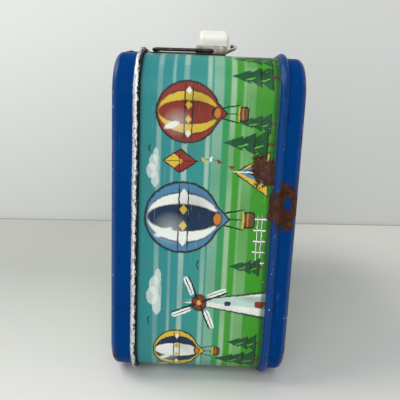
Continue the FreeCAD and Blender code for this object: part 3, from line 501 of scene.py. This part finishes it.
# middle, half sizes and colour of each hill, far ones first
hills = ((-70, -86, 84, 62, "#4f8f76"), (40, -92, 96, 62, "#3f8a5e"), (-20, -112, 120, 70, "#3c9436"),
         (70, -120, 90, 72, "#338a26"))
for pan, make in pans.items():
    # glossy stoved blue, its rim rubbed to the metal
    material, tree, shader, mm, facing = startMaterial(make["name"])
    pos = addNode(tree, "SeparateXYZ", {0: mm}).node.outputs
    level = addNode(tree, "Math", {0: pos["Z"], 1: case["mid"]}, operation="SUBTRACT")
    rightwards = addNode(tree, "Math", {0: pos["X"], 1: make["mirror"]}, operation="MULTIPLY")
    flat = addNode(tree, "CombineXYZ", {"X": rightwards, "Y": level})
    inField = addNode(tree, "VectorMath", {0: flat}, operation="ABSOLUTE")
    inField = addNode(tree, "VectorMath", {0: inField, 1: field["half"]}, operation="SUBTRACT")
    inField = addNode(tree, "VectorMath", {0: inField, 1: (0, 0, 0)}, operation="MAXIMUM")
    inField = addNode(tree, "VectorMath", {0: inField}, operation="LENGTH")
    wobble = addNode(tree, "TexNoise", {"Vector": flat, "Scale": 0.4, "Detail": 2.0}).node.outputs["Color"]
    wobble = addNode(tree, "VectorMath", {0: wobble, 1: (0.5, 0.5, 0.5)}, operation="SUBTRACT")
    flat = addNode(tree, "VectorMath", {0: wobble, 1: (1.4, 1.4, 0), 2: flat}, operation="MULTIPLY_ADD")
    sky = addNode(tree, "MapRange", {"Value": level, "From Min": -75.0, "From Max": 75.0})
    picture = addNode(tree, "ValToRGB", {"Fac": sky})
    stops = picture.node.color_ramp.elements
    for place, tone in ((0.30, "#8fbfae"), (0.55, "#4f9a98"), (0.80, "#2f8084")):
        stops.new(place).color = srgb(tone)
    stops[0].color, stops[-1].color = srgb("#9cc6b0"), srgb("#2a7378")
    for x, z, wide, high, tone in hills:
        shift = (-x / wide, -z / high, 0)
        hill = addNode(tree, "VectorMath", {0: flat, 1: (1 / wide, 1 / high, 0), 2: shift},
                       operation="MULTIPLY_ADD")
        hill = addNode(tree, "VectorMath", {0: hill}, operation="LENGTH")
        hill = addNode(tree, "MapRange", {"Value": hill, "From Min": 0.995, "From Max": 1.0,
                                          "To Min": 1.0, "To Max": 0.0})
        picture = addNode(tree, "Mix", {"Factor": hill, "A": picture, "B": tone}, data_type="RGBA")
    for stamp in faceLayout[pan]:
        picture = printMotif(tree, picture, flat, *stamp)
    cloudy = addNode(tree, "TexNoise", {"Vector": mm, "Scale": 0.03, "Detail": 4.0})
    blue = addNode(tree, "Mix", {"Factor": cloudy, "A": "#002e68", "B": "#003f80"}, data_type="RGBA")
    # a cream keyline between the picture and the blue
    keyline = addNode(tree, "MapRange", {"Value": inField, "From Min": field["keyline"] - field["edge"],
                                         "From Max": field["keyline"], "To Min": 1.0, "To Max": 0.0})
    framed = addNode(tree, "Mix", {"Factor": keyline, "A": blue, "B": "#d9d6bc"}, data_type="RGBA")
    inside = addNode(tree, "MapRange", {"Value": inField, "From Min": field["picture"] - field["edge"],
                                        "From Max": field["picture"], "To Min": 1.0, "To Max": 0.0})
    colour = addNode(tree, "Mix", {"Factor": inside, "A": framed, "B": picture}, data_type="RGBA")

    rubbed = addNode(tree, "Mapping", {"Vector": mm, "Scale": (1.6, 0.5, 0.05), "Rotation": (0.2, 0.3, 0)})
    lines = addNode(tree, "TexNoise", {"Vector": rubbed, "Scale": 1.0, "Detail": 3.0, "Roughness": 0.6})
    lines = addNode(tree, "MapRange", {"Value": lines, "From Min": 0.67, "From Max": 0.72, "To Max": 0.4})
    colour = addNode(tree, "Mix", {"Factor": lines, "A": colour, "B": "#5f86ac"}, data_type="RGBA")

    # which faces look out of the box, the rolled rim all round
    away = addNode(tree, "VectorMath", {0: mm, 1: (0, make["centre"], case["mid"])}, operation="SUBTRACT")
    away = addNode(tree, "VectorMath", {0: facing, 1: away}, operation="DOT_PRODUCT")
    outside = addNode(tree, "Math", {0: away, 1: 0.0}, operation="GREATER_THAN")
    offRim = addNode(tree, "Math", {0: pos["Y"], 1: make["rim"]}, operation="SUBTRACT")
    offRim = addNode(tree, "Math", {0: offRim}, operation="ABSOLUTE")
    onRim = addNode(tree, "Math", {0: offRim, 1: rimReach["roll"]}, operation="LESS_THAN")
    outside = addNode(tree, "Math", {0: outside, 1: onRim}, operation="MAXIMUM")
    colour = lineInside(tree, mm, outside, colour)

    # rims and outer edges lose their enamel first
    chip = addNode(tree, "TexNoise", {"Vector": mm, "Scale": 0.35, "Detail": 8.0, "Roughness": 0.72})
    rimWear = addNode(tree, "MapRange", {"Value": offRim, "From Min": rimReach["wear"][0],
                                         "From Max": rimReach["wear"][1], "To Min": make["worn"],
                                         "To Max": 0.0})
    depth = addNode(tree, "Math", {0: pos["Y"]}, operation="ABSOLUTE")
    outer = addNode(tree, "MapRange", {"Value": depth, "From Min": foldReach["wear"][0],
                                       "From Max": foldReach["wear"][1], "To Max": 0.11})
    flatFace = addNode(tree, "SeparateXYZ", {0: facing}).node.outputs["Y"]
    flatFace = addNode(tree, "Math", {0: flatFace}, operation="ABSOLUTE")
    rounded = addNode(tree, "MapRange", {"Value": flatFace, "From Min": 0.75, "From Max": 0.98,
                                         "To Min": 1.0, "To Max": 0.0})
    outer = addNode(tree, "Math", {0: outer, 1: rounded}, operation="MULTIPLY")
    edges = addNode(tree, "Math", {0: rimWear, 1: outer}, operation="ADD")
    edges = addNode(tree, "Math", {0: edges, 1: chip}, operation="ADD")
    bare = addNode(tree, "MapRange", {"Value": edges, "From Min": 0.70, "From Max": 0.75})
    # dark paint is left in chips on the bare rim, and in a line along its foot
    drawnOut = addNode(tree, "Mapping", {"Vector": mm, "Scale": (0.3, 1.2, 0.3)})
    dark = addNode(tree, "TexNoise", {"Vector": drawnOut, "Scale": 1.0, "Detail": 6.0, "Roughness": 0.72})
    foot = addNode(tree, "Math", {0: pos["Y"], 1: make["rim"]}, operation="SUBTRACT")
    foot = addNode(tree, "Math", {0: foot, 1: make["mirror"]}, operation="MULTIPLY")
    foot = addNode(tree, "MapRange", {"Value": foot, "From Min": rimReach["foot"][0],
                                      "From Max": rimReach["foot"][1], "To Max": 0.22})
    dark = addNode(tree, "Math", {0: dark, 1: foot}, operation="ADD")
    dark = addNode(tree, "MapRange", {"Value": dark, "From Min": 0.565, "From Max": 0.59})
    dark = addNode(tree, "Math", {0: dark, 1: bare}, operation="MULTIPLY")
    colour = addNode(tree, "Mix", {"Factor": dark, "A": colour, "B": "#17191a"}, data_type="RGBA")
    bare = addNode(tree, "Math", {0: bare, 1: dark}, operation="SUBTRACT")
    ragged = addNode(tree, "TexNoise", {"Vector": mm, "Scale": 0.22, "Detail": 6.0, "Roughness": 0.68})
    rust = rustPatch(tree, mm, ragged, make["rust"], make["rustSize"])
    if "island" in make:  # enamel that is left in the middle of the rust
        island = rustPatch(tree, mm, ragged, make["island"], make["islandSize"])
        rust = addNode(tree, "Math", {0: rust, 1: island}, operation="SUBTRACT")
    # the outermost fold is brown along most of its length
    fold = addNode(tree, "MapRange", {"Value": depth, "From Min": foldReach["brown"][0],
                                      "From Max": foldReach["brown"][1], "To Max": make["fold"]})
    fold = addNode(tree, "Math", {0: fold, 1: rounded}, operation="MULTIPLY")
    fold = addNode(tree, "Math", {0: fold, 1: ragged}, operation="ADD")
    fold = addNode(tree, "MapRange", {"Value": fold, "From Min": 0.66, "From Max": 0.72})
    rust = addNode(tree, "Math", {0: rust, 1: fold}, operation="MAXIMUM")
    rust = addNode(tree, "Math", {0: rust, 1: outside}, operation="MULTIPLY")
    bare = addNode(tree, "Math", {0: bare, 1: outside}, operation="MULTIPLY")
    dent = 0.0
    for place in make["dents"]:
        hollow = pressDent(tree, mm, place, dentSize, dentDepth)
        dent = addNode(tree, "Math", {0: hollow, 1: dent}, operation="ADD")
    weather(tree, shader, mm, colour, bare, rust, dent, enamelGloss)
    # folds and rim catch the window, the flat sides stay deep blue
    glint = addNode(tree, "MapRange", {"Value": depth, "From Min": foldReach["glint"][0],
                                       "From Max": foldReach["glint"][1], "To Min": 0.015, "To Max": 0.45})
    rimGlint = addNode(tree, "MapRange", {"Value": offRim, "From Min": rimReach["glint"][0],
                                          "From Max": rimReach["glint"][1], "To Min": 0.18, "To Max": 0.0})
    glint = addNode(tree, "Math", {0: glint, 1: rimGlint}, operation="MAXIMUM")
    tree.links.new(glint, shader.inputs["Specular IOR Level"])
    dress(material, pan)

print("stage: hardware and handle")
plates = {"dull nickel plate": ("#6f695e", "#a8a298", 0.34),
          "dark drawn steel wire": ("#2a2825", "#6a665f", 0.38)}
footShade = {"full": case["top"] + 0.62, "none": case["top"] + 4.02, "below": case["top"] - 0.18}
wires = ("latch_bail_left", "latch_bail_right", "bottle_clip", "hinge_pin")
sheets = ("body_band", "lid_pan", "back_pan", "handle_grip")
for name, (dark, light, gloss) in plates.items():
    # soft grey shine, brown where the plating has gone
    material, tree, shader, mm, facing = startMaterial(name)
    cloudy = addNode(tree, "TexNoise", {"Vector": mm, "Scale": 0.3, "Detail": 6.0, "Roughness": 0.65})
    tarnish = addNode(tree, "MapRange", {"Value": cloudy, "From Min": 0.35, "From Max": 0.65})
    colour = addNode(tree, "Mix", {"Factor": tarnish, "A": dark, "B": light}, data_type="RGBA")
    spots = addNode(tree, "TexNoise", {"Vector": mm, "Scale": 0.9, "Detail": 6.0, "Roughness": 0.7})
    rust = addNode(tree, "MapRange", {"Value": spots, "From Min": 0.60, "From Max": 0.66})
    colour = addNode(tree, "Mix", {"Factor": rust, "A": colour, "B": "#4a2f1e"}, data_type="RGBA")
    # painted shade at the foot of what stands on top of the box
    height = addNode(tree, "SeparateXYZ", {0: mm}).node.outputs["Z"]
    foot = addNode(tree, "MapRange", {"Value": height, "From Min": footShade["full"], "From Max": footShade["none"],
                                      "To Min": 0.9, "To Max": 0.0})
    onTop = addNode(tree, "Math", {0: height, 1: footShade["below"]}, operation="GREATER_THAN")
    foot = addNode(tree, "Math", {0: foot, 1: onTop}, operation="MULTIPLY")
    colour = addNode(tree, "Mix", {"Factor": foot, "A": colour, "B": "#1d1b17"}, data_type="RGBA")
    tree.links.new(colour, shader.inputs["Base Color"])
    sheen = addNode(tree, "Math", {0: 1.0, 1: rust}, operation="SUBTRACT")
    tree.links.new(sheen, shader.inputs["Metallic"])
    dull = addNode(tree, "MapRange", {"Value": cloudy, "From Min": 0.3, "From Max": 0.7,
                                      "To Min": gloss + 0.14, "To Max": gloss})
    dull = addNode(tree, "Mix", {"Factor": rust, "A": dull, "B": 0.85}, data_type="FLOAT")
    tree.links.new(dull, shader.inputs["Roughness"])
    rubbed = addNode(tree, "Mapping", {"Vector": mm, "Scale": (0.4, 6.0, 6.0)})
    fine = addNode(tree, "TexNoise", {"Vector": rubbed, "Scale": 1.0, "Detail": 3.0})
    high = addNode(tree, "Math", {0: fine, 1: 0.02}, operation="MULTIPLY")
    high = addNode(tree, "Math", {0: spots, 1: 0.06, 2: high}, operation="MULTIPLY_ADD")
    bump = addNode(tree, "Bump", {"Height": high, "Distance": 0.001})
    tree.links.new(bump, shader.inputs["Normal"])
    dress(material, *[n for n in nodes if n not in sheets and (n in wires) == ("wire" in name)])

# slightly yellowed, softly shining
material, tree, shader, mm, facing = startMaterial("off-white moulded plastic")
age = addNode(tree, "TexNoise", {"Vector": mm, "Scale": 0.05, "Detail": 5.0})
age = addNode(tree, "MapRange", {"Value": age, "From Min": 0.35, "From Max": 0.7})
colour = addNode(tree, "Mix", {"Factor": age, "A": "#f5f4ee", "B": "#ebe6d4"}, data_type="RGBA")
dirtAndShade = addNode(tree, "TexNoise", {"Vector": mm, "Scale": 0.7, "Detail": 7.0, "Roughness": 0.72})
dirtAndShade = addNode(tree, "MapRange", {"Value": dirtAndShade, "From Min": 0.64, "From Max": 0.70, "To Max": 0.6})
colour = addNode(tree, "Mix", {"Factor": dirtAndShade, "A": colour, "B": "#9d9580"}, data_type="RGBA")
tree.links.new(colour, shader.inputs["Base Color"])
dull = addNode(tree, "MapRange", {"Value": age, "To Min": 0.36, "To Max": 0.5})
tree.links.new(dull, shader.inputs["Roughness"])
skin = addNode(tree, "TexNoise", {"Vector": mm, "Scale": 1.4, "Detail": 4.0})
high = addNode(tree, "Math", {0: skin, 1: 0.05}, operation="MULTIPLY")
bump = addNode(tree, "Bump", {"Height": high, "Distance": 0.001})
tree.links.new(bump, shader.inputs["Normal"])
shader.inputs["Subsurface Weight"].default_value = 0.05
dress(material, "handle_grip")

print("stage: pressed ribs, lap seam and rust scabs")
# each latch lever has a rib pressed up along its middle
leverEdges = [corner[0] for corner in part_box("latch_lever_right")]
rib = {"x": sum(leverEdges) / 2, "y": 0.0018, "z": 0.18128, "half": (0.0030, 0.0052, 0.0006), "bevel": 0.0005}
bpy.ops.mesh.primitive_cube_add(size=2, location=(0, 0, 0))
leftRib = bpy.context.object
bpy.ops.object.mode_set(mode="EDIT")
bpy.ops.mesh.select_all(action="SELECT")
bpy.ops.transform.resize(value=rib["half"])
bpy.ops.transform.translate(value=(-rib["x"], rib["y"], rib["z"]))
bpy.ops.mesh.bevel(offset=rib["bevel"], segments=3)
bpy.ops.object.mode_set(mode="OBJECT")
bpy.ops.object.shade_smooth_by_angle(angle=math.radians(40))
leftRib.data.materials.append(nodes["latch_lever_left"].data.materials[0])
bpy.ops.object.duplicate()
rightRib = bpy.context.object
bpy.ops.object.mode_set(mode="EDIT")
bpy.ops.mesh.select_all(action="SELECT")
bpy.ops.transform.translate(value=(2 * rib["x"], 0, 0))
bpy.ops.object.mode_set(mode="OBJECT")
for piece, name in ((leftRib, "left"), (rightRib, "right")):
    piece.name = "lever_rib_" + name
    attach(piece, "lever_" + name)

# the strip's two ends lap over each other under the box
seam = {"half": (0.0045, 0.0325, 0.0002), "x": -0.020, "y": 0.0005, "z": case["bottom"] / 1000 - 0.00018,
        "bevel": 0.00012}
bpy.ops.mesh.primitive_cube_add(size=2, location=(0, 0, 0))
piece = bpy.context.object
piece.name = "lap_seam"
bpy.ops.object.mode_set(mode="EDIT")
bpy.ops.mesh.select_all(action="SELECT")
bpy.ops.transform.resize(value=seam["half"])
bpy.ops.transform.translate(value=(seam["x"], seam["y"], seam["z"]))
bpy.ops.mesh.bevel(offset=seam["bevel"], segments=2)
bpy.ops.object.mode_set(mode="OBJECT")
bpy.ops.object.shade_smooth_by_angle(angle=math.radians(40))
piece.data.materials.append(nodes["body_band"].data.materials[0])
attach(piece, "case")

# rough dark brown with orange edges
material, tree, shader, mm, facing = startMaterial("flaking rust")
crust = addNode(tree, "TexNoise", {"Vector": mm, "Scale": 0.6, "Detail": 8.0, "Roughness": 0.7})
iron = addNode(tree, "ValToRGB", {"Fac": crust})
for stop, place, tone in zip(iron.node.color_ramp.elements, (0.38, 0.68), ("#2a1a14", "#6b3a20")):
    stop.position, stop.color = place, srgb(tone)
tree.links.new(iron, shader.inputs["Base Color"])
rough = addNode(tree, "MapRange", {"Value": crust, "To Min": 0.95, "To Max": 0.75})
tree.links.new(rough, shader.inputs["Roughness"])
bump = addNode(tree, "Bump", {"Height": crust, "Distance": 0.0003})
tree.links.new(bump, shader.inputs["Normal"])

# loose scabs standing a little off the sheet; y, z, half size across and up of each in mm
scabs = {"x": case["halfWidth"] / 1000, "thick": 0.00022, "rough": 0.14,
         "spots": [(28.0, 123.5, 1.6, 2.4), (30.6, 121.0, 1.9, 2.0), (28.6, 118.2, 1.5, 1.7),
                   (31.4, 117.2, 1.3, 2.0), (29.2, 125.4, 1.0, 1.4), (31.2, 123.8, 0.9, 1.5),
                   (27.6, 121.4, 0.9, 1.2)]}
for count, (y, z, wide, high) in enumerate(scabs["spots"]):
    bpy.ops.mesh.primitive_ico_sphere_add(subdivisions=3, radius=1, location=(0, 0, 0))
    piece = bpy.context.object
    piece.name = "rust_scab_%d" % (count + 1)
    bpy.ops.object.mode_set(mode="EDIT")
    bpy.ops.mesh.select_all(action="SELECT")
    bpy.ops.transform.vertex_random(offset=scabs["rough"], uniform=0.4, normal=0.6, seed=count + 3)
    bpy.ops.transform.resize(value=(scabs["thick"], wide / 1000, high / 1000), center_override=(0, 0, 0))
    bpy.ops.transform.translate(value=(scabs["x"], y / 1000, z / 1000))
    bpy.ops.object.mode_set(mode="OBJECT")
    bpy.ops.object.shade_smooth_by_angle(angle=math.radians(35))
    piece.data.materials.append(material)
    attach(piece, "case")

scene.view_settings.view_transform = "Standard"
